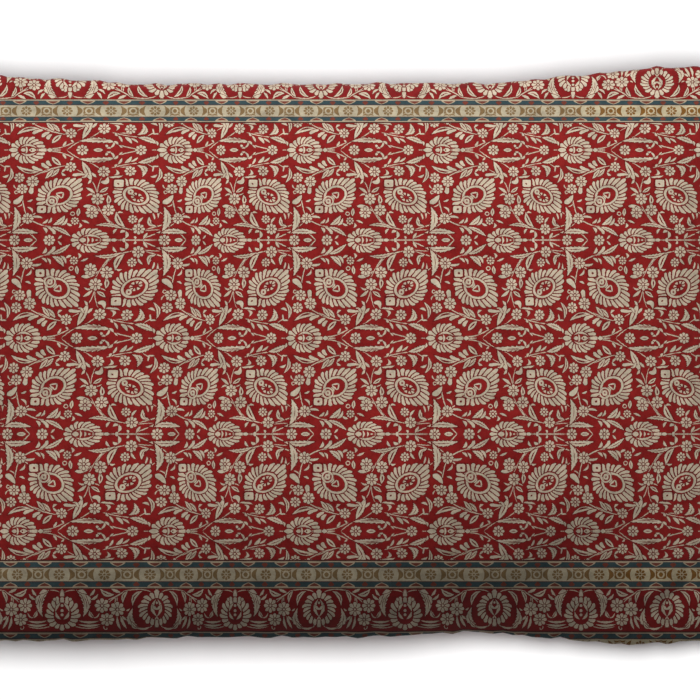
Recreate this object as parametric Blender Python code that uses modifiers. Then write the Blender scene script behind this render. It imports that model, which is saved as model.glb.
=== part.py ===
"""A printed lumbar pillow lying on its back.

Two oblong cloth panels are sewn edge to edge, turned right side out and filled, so the pillow is one
filled body: a crown on top, long and short sides drawn in between thin corners, and an underside
pressed flat where it rests. Metres, +Z up, +X along the length, origin under the middle.
"""

import bmesh
import bpy
import numpy as np

PANEL_LENGTH = 0.500
CROWN_TOP = 0.112
SEAM_HEIGHT = 0.048
CORNER_DROOP = 0.010
END_DRAW_IN = 0.011

FACES_ALONG = 28
FACES_ACROSS = 20
EDGE_CROWDING = 0.30
REST_FACES_ALONG = 10
REST_FACES_ACROSS = 6
REST_TOLERANCE = 0.00001

SHELL_COLOUR = (0.33, 0.045, 0.047, 1.0)
CLOTH_ROUGHNESS = 0.88

# The sewn edge seen from above, from the left end to the right end: how far along the pillow, and
# how far its far and near long sides lie from the middle line.
SEAM_OUTLINE = (
    # along, far side, near side
    (-0.250, 0.1735, 0.1730),
    (-0.225, 0.1725, 0.1725),
    (-0.200, 0.1690, 0.1705),
    (-0.170, 0.1672, 0.1702),
    (-0.143, 0.1665, 0.1698),
    (-0.122, 0.1635, 0.1690),
    (-0.097, 0.1643, 0.1678),
    (-0.050, 0.1642, 0.1677),
    (0.000, 0.1640, 0.1678),
    (0.040, 0.1648, 0.1676),
    (0.075, 0.1645, 0.1662),
    (0.100, 0.1645, 0.1675),
    (0.118, 0.1668, 0.1705),
    (0.140, 0.1692, 0.1713),
    (0.160, 0.1706, 0.1742),
    (0.182, 0.1735, 0.1757),
    (0.195, 0.1750, 0.1747),
    (0.225, 0.1750, 0.1735),
    (0.250, 0.1745, 0.1738),
)

# The crown's soft dents and rises, from above: the middle, half the length and half the width of
# each, the turn of its length from +X, and its depth, which is negative where the cloth rises.
SOFT_FOLDS = (
    # x, y, half length, half width, turn in degrees, depth
    (-0.104, 0.010, 0.130, 0.010, 88.0, 0.0018),
    (-0.168, 0.155, 0.022, 0.010, 60.0, 0.0035),
    (-0.118, 0.146, 0.030, 0.011, 25.0, 0.0040),
    (-0.055, 0.150, 0.045, 0.009, 4.0, 0.0022),
    (0.125, -0.122, 0.030, 0.012, 55.0, 0.0035),
    (0.172, -0.098, 0.034, 0.014, 35.0, 0.0030),
    (-0.100, -0.145, 0.022, 0.014, 70.0, -0.0030),
    (0.198, -0.140, 0.030, 0.010, 50.0, -0.0035),
    (0.056, -0.142, 0.024, 0.008, 75.0, 0.0028),
)


def crowded(places):
    """Places from -1 to 1, moved outwards so that the rounding beside the seam has more faces."""
    return places * (1.0 + EDGE_CROWDING * (1.0 - places ** 2))


def crown_share(along, across):
    """How full the filling is at a place in the panel: 1 in the middle and 0 along the seam."""
    lengthways = np.clip(1.0 - np.abs(along) ** 3.0, 0.0, 1.0) ** 0.68
    crossways = np.clip(1.0 - np.abs(across) ** 2.3, 0.0, 1.0) ** 0.72
    return lengthways * crossways


def belly_share(along, across):
    """How far the filling sags at a place in the back: 1 over the part that it rests on, 0 at the seam."""
    rest_along = crowded(REST_FACES_ALONG / FACES_ALONG)
    rest_across = crowded(REST_FACES_ACROSS / FACES_ACROSS)
    past_end = np.clip((np.abs(along) - rest_along) / (1.0 - rest_along), 0.0, 1.0)
    past_side = np.clip((np.abs(across) - rest_across) / (1.0 - rest_across), 0.0, 1.0)
    return ((1.0 - past_end ** 1.4) * (1.0 - past_side ** 1.4)) ** 0.75


def seam_place(along, across):
    """Where a place in the flat panel lies from above, once its sides are drawn in."""
    table = np.array(SEAM_OUTLINE)
    end_reach = PANEL_LENGTH / 2 - END_DRAW_IN * (1.0 - np.abs(across) ** 3.0)
    x = along * end_reach
    far = np.interp(along * PANEL_LENGTH / 2, table[:, 0], table[:, 1])
    near = np.interp(along * PANEL_LENGTH / 2, table[:, 0], table[:, 2])
    y = (far - near) / 2 + across * (far + near) / 2
    return x, y


def fold_depth(x, y):
    """How far the soft folds lower the crown at each place."""
    depth = np.zeros_like(x)
    for middle_x, middle_y, half_length, half_width, turn, fold in SOFT_FOLDS:
        angle = np.radians(turn)
        lengthways = (x - middle_x) * np.cos(angle) + (y - middle_y) * np.sin(angle)
        crossways = (y - middle_y) * np.cos(angle) - (x - middle_x) * np.sin(angle)
        depth += fold * np.exp(-(lengthways / half_length) ** 2 - (crossways / half_width) ** 2)
    return depth


def seam_height(along, across):
    """The height of the sewn edge, which droops a little towards the thin corners."""
    return SEAM_HEIGHT - CORNER_DROOP * (along * across) ** 4


def panel(model, face_up):
    """Add one cloth panel, shaped over the filling, to the mesh."""
    made = bmesh.ops.create_grid(model, x_segments=FACES_ALONG, y_segments=FACES_ACROSS, size=1.0)
    verts = made["verts"]
    flat = np.array([vert.co for vert in verts])
    along, across = crowded(flat[:, 0]), crowded(flat[:, 1])
    x, y = seam_place(along, across)
    rim = seam_height(along, across)
    if face_up:
        share = crown_share(along, across)
        z = rim + (CROWN_TOP - rim) * share - fold_depth(x, y) * np.minimum(1.0, share * 4.0)
    else:
        z = rim * (1.0 - belly_share(along, across))
    for vert, place in zip(verts, zip(x, y, z)):
        vert.co = place
    if not face_up:
        faces = list({face for vert in verts for face in vert.link_faces})
        bmesh.ops.reverse_faces(model, faces=faces)


def pillow_mesh():
    """The coarse cage of the filled pillow: its two panels, welded along the seam.

    The seam and the rim of the flat part that it rests on are creased, so that both keep their shape.
    """
    model = bmesh.new()
    panel(model, face_up=True)
    panel(model, face_up=False)
    crease = model.edges.layers.float.new("crease_edge")
    seam = [edge for edge in model.edges if edge.is_boundary]
    for edge in seam + rest_rim(model):
        edge[crease] = 1.0
    seam_verts = list({vert for edge in seam for vert in edge.verts})
    bmesh.ops.remove_doubles(model, verts=seam_verts, dist=0.0001)
    mesh = bpy.data.meshes.new("pillow")
    model.to_mesh(mesh)
    model.free()
    return mesh


def rest_rim(model):
    """The edges round the flat part of the underside."""
    flat = {face for face in model.faces if all(vert.co.z < REST_TOLERANCE for vert in face.verts)}
    return [edge for edge in model.edges if len(flat.intersection(edge.link_faces)) == 1]


def shell_material():
    """The cover's plain woven cloth, in the colour of its printed ground."""
    material = bpy.data.materials.new("shell_cloth")
    material.use_nodes = True
    shader = material.node_tree.nodes["Principled BSDF"]
    shader.inputs["Base Color"].default_value = SHELL_COLOUR
    shader.inputs["Roughness"].default_value = CLOTH_ROUGHNESS
    shader.inputs["Metallic"].default_value = 0.0
    return material


def make_pillow(collection):
    """The finished pillow: the cage, rounded by subdivision with the seam kept as its edge."""
    mesh = pillow_mesh()
    mesh.materials.append(shell_material())
    mesh.shade_smooth()
    pillow = bpy.data.objects.new("pillow", mesh)
    collection.objects.link(pillow)
    rounding = pillow.modifiers.new("rounding", "SUBSURF")
    rounding.levels = 1
    rounding.render_levels = 1
    return pillow


for old in list(bpy.data.objects):
    bpy.data.objects.remove(old)

lumbar_pillow = bpy.data.collections.new("lumbar_pillow")
bpy.context.scene.collection.children.link(lumbar_pillow)
make_pillow(lumbar_pillow)
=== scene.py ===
"""A printed lumbar pillow lying on its back, seen from straight above."""

import functools
import math

import bmesh
import bpy
import numpy as np
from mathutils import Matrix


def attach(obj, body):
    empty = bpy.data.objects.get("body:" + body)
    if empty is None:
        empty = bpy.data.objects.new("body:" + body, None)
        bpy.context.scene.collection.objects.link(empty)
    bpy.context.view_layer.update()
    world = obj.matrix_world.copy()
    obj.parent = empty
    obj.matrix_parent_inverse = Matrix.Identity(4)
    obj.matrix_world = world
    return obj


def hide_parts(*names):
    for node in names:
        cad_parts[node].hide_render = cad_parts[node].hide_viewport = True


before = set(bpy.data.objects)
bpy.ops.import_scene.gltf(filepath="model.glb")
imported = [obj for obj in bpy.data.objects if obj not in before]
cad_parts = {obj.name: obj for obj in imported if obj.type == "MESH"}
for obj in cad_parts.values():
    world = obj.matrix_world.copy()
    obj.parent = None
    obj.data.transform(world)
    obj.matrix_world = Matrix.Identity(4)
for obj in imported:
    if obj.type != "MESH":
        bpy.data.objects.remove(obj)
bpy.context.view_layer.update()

# The camera looks straight down at the pillow's face, as the photograph does, from about a metre
# and a bit above its seam, so that the ends of the pillow run out of the picture on both sides.
PICTURE_SIDE = 700
LENS_MM = 100.0
SENSOR_MM = 36.0
SEAM_HEIGHT = 0.048
CAMERA_X, CAMERA_Y = 0.0084, 0.0045
CAMERA_ABOVE_SEAM = 1.167
PIXELS_PER_SLOPE = PICTURE_SIDE * LENS_MM / SENSOR_MM

lens = bpy.data.cameras.new("camera")
lens.lens = LENS_MM
lens.sensor_width = SENSOR_MM
camera = bpy.data.objects.new("camera", lens)
camera.location = (CAMERA_X, CAMERA_Y, SEAM_HEIGHT + CAMERA_ABOVE_SEAM)
bpy.context.scene.collection.objects.link(camera)
bpy.context.scene.camera = camera


def seen_at(places):
    """Where places on the pillow come in the picture, in pixels from its left and top sides."""
    away = SEAM_HEIGHT + CAMERA_ABOVE_SEAM - places[..., 2]
    right = PICTURE_SIDE / 2 + (places[..., 0] - CAMERA_X) * PIXELS_PER_SLOPE / away
    down = PICTURE_SIDE / 2 - (places[..., 1] - CAMERA_Y) * PIXELS_PER_SLOPE / away
    return right, down


# The cover is two oblong panels of cotton, cut alike, sewn edge to edge, turned right side out and
# stuffed with loose fibre. The filling crowns both panels and draws the long and short sides in
# between thin corners, and its own weight presses the back flat where the pillow lies.
PANEL_LENGTH = 0.500
CROWN_TOP = 0.108
CORNER_DROOP = 0.010
NEAR_RIGHT_DROOP = 0.018
SEAM_ROUNDING = 0.012
PUCKER = 0.00035
END_DRAW_IN = 0.011
EDGE_CROWDING = 0.30
REST_ALONG = 0.40
REST_ACROSS = 0.34
PATCHES_ALONG = 100
PATCHES_ACROSS = 70

# The sewn edge seen from above: how far along the pillow, and how far its far and near sides lie
# from the middle line.
SEAM_OUTLINE = (
    # along, far side, near side
    (-0.250, 0.1735, 0.1730),
    (-0.225, 0.1725, 0.1725),
    (-0.200, 0.1690, 0.1705),
    (-0.170, 0.1672, 0.1702),
    (-0.143, 0.1665, 0.1698),
    (-0.122, 0.1635, 0.1690),
    (-0.097, 0.1643, 0.1678),
    (-0.050, 0.1642, 0.1677),
    (0.000, 0.1640, 0.1678),
    (0.040, 0.1648, 0.1676),
    (0.075, 0.1645, 0.1662),
    (0.100, 0.1645, 0.1675),
    (0.118, 0.1668, 0.1705),
    (0.140, 0.1692, 0.1713),
    (0.160, 0.1706, 0.1742),
    (0.182, 0.1735, 0.1757),
    (0.195, 0.1750, 0.1747),
    (0.225, 0.1750, 0.1735),
    (0.250, 0.1745, 0.1738),
)

# The crown's soft dents and rises, from above. A negative depth is a rise.
SOFT_FOLDS = (
    # x, y, half length, half width, turn in degrees, depth
    (-0.104, 0.010, 0.130, 0.010, 88.0, 0.0018),
    (-0.174, 0.160, 0.018, 0.009, 15.0, 0.0045),
    (-0.166, 0.138, 0.013, 0.009, 60.0, 0.0022),
    (-0.130, 0.149, 0.030, 0.012, -25.0, 0.0050),
    (-0.069, 0.153, 0.045, 0.008, 0.0, 0.0024),
    (0.125, -0.122, 0.034, 0.018, 55.0, 0.0025),
    (0.172, -0.098, 0.040, 0.020, 35.0, 0.0025),
    (-0.118, -0.141, 0.010, 0.009, 70.0, -0.0014),
    (-0.090, -0.141, 0.010, 0.008, 80.0, -0.0012),
    (0.190, -0.139, 0.024, 0.009, 50.0, -0.0020),
    (0.056, -0.142, 0.020, 0.009, 75.0, 0.0014),
    (0.180, -0.150, 0.110, 0.042, 0.0, 0.0065),
    (0.045, 0.049, 0.160, 0.003, 0.0, 0.0005),
)


def crowded(places):
    """Places from -1 to 1, moved outwards so that the rounding beside the seam has more faces."""
    return places * (1.0 + EDGE_CROWDING * (1.0 - places ** 2))


def smooth_between(x, columns, values):
    """A table read with straight lines, averaged over a short stretch so that it has no corners."""
    steps = (-1.0, -0.5, 0.0, 0.5, 1.0)
    return sum(np.interp(x + SEAM_ROUNDING * step, columns, values) for step in steps) / len(steps)


def seam_place(along, across):
    """Where a place in the flat panel lies from above, once its sides are drawn in."""
    table = np.array(SEAM_OUTLINE)
    end_reach = PANEL_LENGTH / 2 - END_DRAW_IN * (1.0 - np.abs(across) ** 3.0)
    x = along * end_reach
    far = smooth_between(along * PANEL_LENGTH / 2, table[:, 0], table[:, 1])
    near = smooth_between(along * PANEL_LENGTH / 2, table[:, 0], table[:, 2])
    y = (far - near) / 2 + across * (far + near) / 2
    stitched = np.abs(across) ** 12
    waves = np.sin(along * 83.0) + np.sin(along * 131.0 + across) + np.sin(along * 57.0 + 2.0)
    y += PUCKER * stitched * waves
    return x, y


def fold_depth(x, y):
    """How far the soft folds lower the crown at each place."""
    depth = np.zeros_like(x)
    for middle_x, middle_y, half_length, half_width, turn, fold in SOFT_FOLDS:
        angle = np.radians(turn)
        lengthways = (x - middle_x) * np.cos(angle) + (y - middle_y) * np.sin(angle)
        crossways = (y - middle_y) * np.cos(angle) - (x - middle_x) * np.sin(angle)
        depth += fold * np.exp(-(lengthways / half_length) ** 2 - (crossways / half_width) ** 2)
    return depth


def eased(share):
    """A share that grows gently from 0 to 1."""
    share = np.clip(share, 0.0, 1.0)
    return share * share * (3.0 - 2.0 * share)


def panel_places(along, across, face_up):
    """The filled panel's places, for the panel in front or the one behind.

    Towards the right, the front's far and near sides start to turn down earlier, and the near side's
    seam lies lower.
    """
    x, y = seam_place(along, across)
    right_share = eased(along / 0.5)
    near_right = right_share * np.clip(-across, 0.0, 1.0) ** 2
    rim = SEAM_HEIGHT - CORNER_DROOP * (along * across) ** 4 - NEAR_RIGHT_DROOP * near_right
    if face_up:
        lengthways = np.clip(1.0 - np.abs(along) ** 3.0, 0.0, 1.0) ** 0.68
        far_side = np.clip(1.0 - np.abs(across) ** (3.0 - 0.7 * right_share), 0.0, 1.0)
        far_side = far_side ** (0.60 + 0.12 * right_share)
        near_side = np.clip(1.0 - np.abs(across) ** (4.0 - 1.1 * right_share), 0.0, 1.0)
        share = lengthways * np.where(across > 0.0, far_side, near_side)
        z = rim + (CROWN_TOP - rim) * share - fold_depth(x, y) * np.minimum(1.0, share * 4.0)
    else:
        past_end = np.clip((np.abs(along) - REST_ALONG) / (1.0 - REST_ALONG), 0.0, 1.0)
        past_side = np.clip((np.abs(across) - REST_ACROSS) / (1.0 - REST_ACROSS), 0.0, 1.0)
        z = rim * (1.0 - ((1.0 - past_end ** 1.4) * (1.0 - past_side ** 1.4)) ** 0.75)
    return np.stack([x, y, z], axis=-1)


def sewn_mesh(name, front, back):
    """Two panels of the same number of faces, welded all round. Each point keeps its row and column."""
    rows, columns = front.shape[:2]
    model = bmesh.new()
    row_layer = model.verts.layers.int.new("row")
    column_layer = model.verts.layers.int.new("column")
    side_layer = model.faces.layers.int.new("side")
    for side, places in enumerate((front, back)):
        made = bmesh.ops.create_grid(model, x_segments=columns - 1, y_segments=rows - 1, size=1.0)
        verts = made["verts"]
        faces = list({face for vert in verts for face in vert.link_faces})
        for vert in verts:
            column = round((vert.co.x + 1.0) / 2.0 * (columns - 1))
            row = round((vert.co.y + 1.0) / 2.0 * (rows - 1))
            vert[row_layer], vert[column_layer] = row, column
            vert.co = places[row, column]
        for face in faces:
            face[side_layer] = side
        if side == 1:
            bmesh.ops.reverse_faces(model, faces=faces)
    rim = [vert for vert in model.verts if vert.is_boundary]
    bmesh.ops.remove_doubles(model, verts=rim, dist=0.00005)
    mesh = bpy.data.meshes.new(name)
    model.to_mesh(mesh)
    model.free()
    return mesh


def numbers(collection, name, kind, width=1):
    """One value, or one row of values, for every item of a mesh's collection."""
    values = np.empty(len(collection) * width, kind)
    collection.foreach_get(name, values)
    return values.reshape(-1, width) if width > 1 else values


def noted(mesh, name):
    """The row, the column or the side that is noted on each point or face of the sewn panels."""
    return numbers(mesh.attributes[name].data, "value", np.int32)


# The filling pushes the cloth out evenly against its seam. The panels are eased in a little fuller
# than their seam, so the surplus goes into shallow puckers along it.
PUFF_PRESSURE = 4.0
PUFF_FRAMES = 20
SURPLUS_CLOTH = 0.003
PUFF_LIMIT = 0.005
PUFF_SMOOTHING = 16


def puffed(front, back):
    """The two panels after the filling has pushed them out, no further than the limit."""
    mesh = sewn_mesh("puff", front, back)
    cloth = bpy.data.objects.new("puff", mesh)
    bpy.context.scene.collection.objects.link(cloth)
    seam = cloth.vertex_groups.new(name="seam")
    rows, columns = front.shape[:2]
    row, column = noted(mesh, "row"), noted(mesh, "column")
    at_seam = (row == 0) | (row == rows - 1) | (column == 0) | (column == columns - 1)
    seam.add([int(index) for index in np.nonzero(at_seam)[0]], 1.0, "REPLACE")
    puff = cloth.modifiers.new("puff", "CLOTH")
    puff.settings.use_pressure = True
    puff.settings.uniform_pressure_force = PUFF_PRESSURE
    puff.settings.quality = 5
    puff.settings.mass = 0.3
    puff.settings.tension_stiffness = 30.0
    puff.settings.compression_stiffness = 30.0
    puff.settings.shear_stiffness = 8.0
    puff.settings.bending_stiffness = 0.8
    puff.settings.shrink_min = -SURPLUS_CLOTH
    puff.settings.vertex_group_mass = "seam"
    puff.settings.pin_stiffness = 1.0
    puff.settings.effector_weights.gravity = 0.0
    puff.collision_settings.use_collision = False
    puff.collision_settings.use_self_collision = False
    puff.point_cache.frame_end = PUFF_FRAMES
    for moment in range(1, PUFF_FRAMES + 1):
        bpy.context.scene.frame_set(moment)
    settled = cloth.evaluated_get(bpy.context.evaluated_depsgraph_get())
    blown = settled.to_mesh()
    before = numbers(mesh.vertices, "co", np.float32, 3).astype(float)
    after = numbers(blown.vertices, "co", np.float32, 3).astype(float)
    settled.to_mesh_clear()
    move = after - before
    length = np.linalg.norm(move, axis=1, keepdims=True)
    move *= np.minimum(1.0, PUFF_LIMIT / np.maximum(length, 1e-9))
    sides = np.zeros(len(row), bool)
    corner_vert = numbers(mesh.loops, "vertex_index", np.int32)
    sides[corner_vert[np.repeat(noted(mesh, "side"), 4) == 1]] = True
    behind = sides & ~at_seam
    grown = []
    for panel, chosen in ((front, ~behind), (back, behind)):
        change = np.zeros_like(panel)
        change[row[chosen], column[chosen]] = move[chosen]
        for _ in range(PUFF_SMOOTHING):
            inner = change[:-2, 1:-1] + change[2:, 1:-1] + change[1:-1, :-2] + change[1:-1, 2:]
            change[1:-1, 1:-1] = 0.5 * change[1:-1, 1:-1] + 0.125 * inner
        grown.append(panel + change)
    bpy.data.objects.remove(cloth)
    bpy.data.meshes.remove(mesh)
    bpy.context.scene.frame_set(1)
    return grown


def halved(places):
    """The same smooth surface with twice as many faces each way."""
    for axis in (0, 1):
        places = np.swapaxes(places, 0, axis)
        ends = np.concatenate([2 * places[:1] - places[1:2], places, 2 * places[-1:] - places[-2:-1]])
        between = (9.0 * (ends[1:-2] + ends[2:-1]) - ends[:-3] - ends[3:]) / 16.0
        finer = np.empty((2 * len(places) - 1,) + places.shape[1:])
        finer[0::2] = places
        finer[1::2] = between
        places = np.swapaxes(finer, 0, axis)
    return places


across, along = np.meshgrid(
    crowded(np.linspace(-1.0, 1.0, PATCHES_ACROSS + 1)),
    crowded(np.linspace(-1.0, 1.0, PATCHES_ALONG + 1)),
    indexing="ij",
)
front = panel_places(along, across, True)
back = panel_places(along, across, False)
front, back = puffed(front, back)
front, back = halved(front), halved(back)
back[..., 2] = np.maximum(back[..., 2], 0.0)


# Where the print lies on the front panel. The tables pair places in the photograph with places on
# the printed cloth, counted in print steps of 0.6 mm: rows down from the field's first line of
# palmettes, columns along from the first palmette of that line.
PRINT_STEP = 0.0006
MOST_STRETCH = 1.7
SMOOTHING_ROUNDS = 12
FIELD_REPEAT = 139.5
FIELD_ROW_PAIR = 95.0
FIELD_MARGIN = 29.0
FIELD_DEPTH = 380.0
STRIP_START = 29.0
STRIP_END = 70.7
ROW_PLACES = (
    # down the picture, down the cloth
    (40.0, -147.0),
    (66.0, -98.5),
    (83.0, -75.5),
    (92.0, -64.7),
    (100.1, -56.95),
    (105.3, -50.8),
    (116.6, -37.0),
    (121.4, -30.85),
    (150.0, 0.0),
    (194.6, 47.5),
    (240.0, 95.0),
    (289.0, 142.5),
    (338.2, 190.0),
    (386.0, 237.5),
    (434.0, 285.0),
    (484.2, 332.5),
    (531.2, 380.0),
    (561.5, 410.85),
    (567.9, 417.0),
    (581.2, 430.8),
    (587.6, 436.95),
    (610.0, 457.5),
    (633.0, 481.55),
    (660.0, 508.0),
)
FIELD_COLUMNS = (
    # along the cloth, along the picture on its far row, its third row and its near rows
    (-200.0, -172.0, -175.0, -182.0),
    (0.0, 28.0, 25.0, 19.0),
    (61.5, 93.5, 89.7, 83.7),
    (139.5, 177.7, 177.0, 170.0),
    (201.0, 229.7, 229.0, 224.7),
    (279.0, 305.5, 305.8, 303.3),
    (340.5, 364.2, 366.0, 366.5),
    (418.5, 442.4, 444.6, 446.7),
    (480.0, 503.7, 507.0, 509.3),
    (558.0, 575.4, 579.2, 582.8),
    (619.5, 635.0, 638.2, 643.3),
    (820.0, 835.0, 838.0, 846.0),
)
FIELD_COLUMN_ROWS = (150.0, 287.0, 433.0)
STRIP_COLUMNS = (
    # along the cloth, along the picture in the far strip, and in the near strip
    (-172.0, -100.0, -112.0),
    (0.0, 70.0, 62.0),
    (86.0, 162.0, 157.0),
    (172.0, 240.0, 235.0),
    (258.0, 321.0, 319.0),
    (344.0, 404.0, 405.0),
    (430.0, 490.0, 494.5),
    (516.0, 573.0, 581.0),
    (602.0, 657.0, 667.0),
    (774.0, 827.0, 840.0),
)


def spread_out(table_values, places, axis):
    """Values read from a table, with more of the print where the cloth turns away steeply."""
    steps = np.diff(table_values, axis=axis)
    lengths = np.linalg.norm(np.diff(places, axis=axis), axis=-1) / (PRINT_STEP * MOST_STRETCH)
    for _ in range(SMOOTHING_ROUNDS):
        sides = np.pad(lengths, [(0, 0), (1, 1)] if axis == 0 else [(1, 1), (0, 0)], mode="edge")
        if axis == 0:
            lengths = (sides[:, :-2] + sides[:, 1:-1] + sides[:, 2:]) / 3.0
        else:
            lengths = (sides[:-2] + sides[1:-1] + sides[2:]) / 3.0
    steps = np.sign(steps) * np.maximum(np.abs(steps), lengths)
    middle = table_values.shape[axis] // 2
    total = np.insert(np.cumsum(steps, axis=axis), 0, 0.0, axis=axis)
    base = np.take(table_values, [middle], axis=axis) - np.take(total, [middle], axis=axis)
    return total + base


def print_places(places):
    """Down the cloth, along the field and along the border strips, for each point of the front."""
    right, down = seen_at(places)
    rows, columns, strips = np.array(ROW_PLACES), np.array(FIELD_COLUMNS), np.array(STRIP_COLUMNS)
    below = spread_out(np.interp(down, rows[:, 0], rows[:, 1]), places, 0)
    field = 0.0
    for table, shares in enumerate(np.eye(3)):
        share = np.interp(down, FIELD_COLUMN_ROWS, shares)
        field = field + share * np.interp(right, columns[:, table + 1], columns[:, 0])
    field = spread_out(field, places, 1)
    far = spread_out(np.interp(right, strips[:, 1], strips[:, 0]), places, 1)
    near = spread_out(np.interp(right, strips[:, 2], strips[:, 0]), places, 1)
    strip = np.where(below < FIELD_DEPTH / 2, far, near)
    return below, field, strip


def rows_on_lines(places, below, lines):
    """Slide the rows of points along the panel until one lies on each line of the print."""
    count = len(places)
    order = np.arange(count)
    crossings = np.array([np.interp(-line, -column, order) for line in lines for column in below.T])
    crossings = crossings.reshape(len(lines), -1)
    kept = [int(round(crossing.mean())) for crossing in crossings]
    moved = np.empty_like(places)
    for column in range(places.shape[1]):
        old = np.interp(order, [0] + kept + [count - 1], [0.0, *crossings[:, column], count - 1.0])
        for part in range(3):
            moved[:, column, part] = np.interp(old, order, places[:, column, part])
    return moved, kept


lowest_row = FIELD_DEPTH + FIELD_MARGIN
PRINT_LINES = (
    lowest_row + STRIP_END,
    lowest_row + STRIP_START,
    lowest_row,
    -FIELD_MARGIN,
    -FIELD_MARGIN - STRIP_START,
)
below, _, _ = print_places(front)
front, line_rows = rows_on_lines(front, below, PRINT_LINES)
below, field_along, strip_along = print_places(front)
for row, line in zip(line_rows, PRINT_LINES):
    below[row] = line
outward = np.abs(below - FIELD_DEPTH / 2) - FIELD_DEPTH / 2 - FIELD_MARGIN

cover_mesh = sewn_mesh("pillow_cover", front, back)
cover = bpy.data.objects.new("pillow_cover", cover_mesh)
bpy.context.scene.collection.objects.link(cover)
cover_mesh.shade_smooth()

face_side = noted(cover_mesh, "side")
corner_point = numbers(cover_mesh.loops, "vertex_index", np.int32)
corner_row, corner_column = noted(cover_mesh, "row")[corner_point], noted(cover_mesh, "column")[corner_point]
corner_side = np.repeat(face_side, 4)


def cloth_lengths(places):
    """How far each point lies along its row and up its column, measured on the cloth in metres."""
    lengths = []
    for axis in (1, 0):
        steps = np.linalg.norm(np.diff(places, axis=axis), axis=-1)
        lengths.append(np.insert(np.cumsum(steps, axis=axis), 0, 0.0, axis=axis))
    return lengths


def add_map(name, across_front, up_front, across_back, up_back):
    """A UV map of the cover from a grid of values for each panel."""
    uv_map = cover_mesh.uv_layers.new(name=name)
    at_corner = (corner_row, corner_column)
    u = np.where(corner_side == 0, across_front[at_corner], across_back[at_corner])
    v = np.where(corner_side == 0, up_front[at_corner], up_back[at_corner])
    uv_map.data.foreach_set("uv", np.stack([u, v], axis=-1).astype(np.float32).ravel())


grid_rows, grid_columns = front.shape[:2]
grid_up, grid_along = np.meshgrid(
    np.linspace(0.0, 1.0, grid_rows), np.linspace(0.0, 1.0, grid_columns), indexing="ij"
)
front_lengths, back_lengths = cloth_lengths(front), cloth_lengths(back)
add_map("OFBake", 0.005 + 0.99 * grid_along, 0.30 + 0.695 * grid_up,
        0.005 + 0.99 * grid_along, 0.005 + 0.285 * grid_up)
add_map("cloth", front_lengths[0], front_lengths[1], back_lengths[0], back_lengths[1])
add_map("field_print", field_along, below, back_lengths[0], back_lengths[1])
add_map("border_print", strip_along, outward, back_lengths[0], back_lengths[1])

# The print is a traditional one of palmettes, rosettes and serrated leaves on vines, drawn here in
# print steps. Each stroke runs from its base to its tip, and bows about halfway towards the
# place where its bend is given. A stem keeps its width, a leaf is pointed, a petal is fuller towards
# its tip, and a toothed leaf is notched.
FIELD_STEMS = (
    # base, bend, tip, half width
    (22, 0, 26, 0, 31, 0, 0.7), (20, 1.5, 27, 1.4, 33, 3.2, 0.6), (32, 3, 38, 5.6, 44, 8.6, 0.6),
    (36.5, 0, 41, 5, 50, 9.8, 0.5), (83, 6, 92, 3, 105, 0.3, 0.6), (108, 93.6, 115, 91, 122, 87, 0.7),
    (121, 87.4, 128, 84, 137, 77.5, 0.7), (46, 9, 54, 11, 61, 14.6, 0.6),
    (60, 14.2, 66.5, 18.5, 71.5, 23, 0.6), (3, 29.5, 10, 25.5, 18, 21.3, 0.6),
    (17, 21.8, 27, 18, 37, 16.6, 0.6), (13, 25, 22, 20.5, 31, 18, 0.5), (46, 20.5, 50, 23.5, 55, 25, 0.4),
    (61, 33, 64.5, 39, 66, 47, 0.5), (70, 29, 66.5, 35, 66.3, 46, 0.5), (67, 48, 71.5, 48.8, 76, 46, 0.7),
    (78.5, 19, 88, 16, 97, 14.6, 0.6), (96, 14.8, 101, 14, 106, 13.3, 0.6),
    (86, 18, 90.5, 18.8, 95, 17, 0.5), (110, 14, 114, 16.5, 118, 19, 0.5),
    (116, 17.5, 119.5, 17.2, 122.5, 17.5, 0.9), (117.5, 17.5, 117, 20, 116.5, 23, 0.9),
    (126, 37, 126.3, 39.5, 128, 41, 0.7), (127.5, 40.8, 129, 41.8, 130.5, 41, 0.6),
    (134.5, 46, 135.2, 60, 140.5, 72, 0.6), (135, 57, 133.5, 60, 130, 60, 0.7),
    (144.5, 69, 147, 68, 149.5, 65, 0.6), (2.5, 73.5, 9, 77.3, 17, 80.2, 0.7),
    (16, 80, 25, 81.3, 34, 84.3, 0.7), (-1, 85.5, 5.5, 89, 10.5, 95.5, 0.7),
    (66, 58, 70, 65.5, 77, 77, 0.5), (71.5, 66, 75, 72, 81, 78, 0.5), (80, 79, 89, 82.2, 97, 84, 0.7),
    (96, 83.9, 101, 84.3, 105, 83.5, 0.7), (120, 64, 123, 65.5, 126, 68, 0.5),
    (110, 84, 123, 80.5, 137, 75.5, 0.6), (110, 85.5, 118, 84, 124, 84.5, 0.5),
    (84, 94.6, 104, 94.6, 122, 94.6, 0.4),
)
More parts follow.
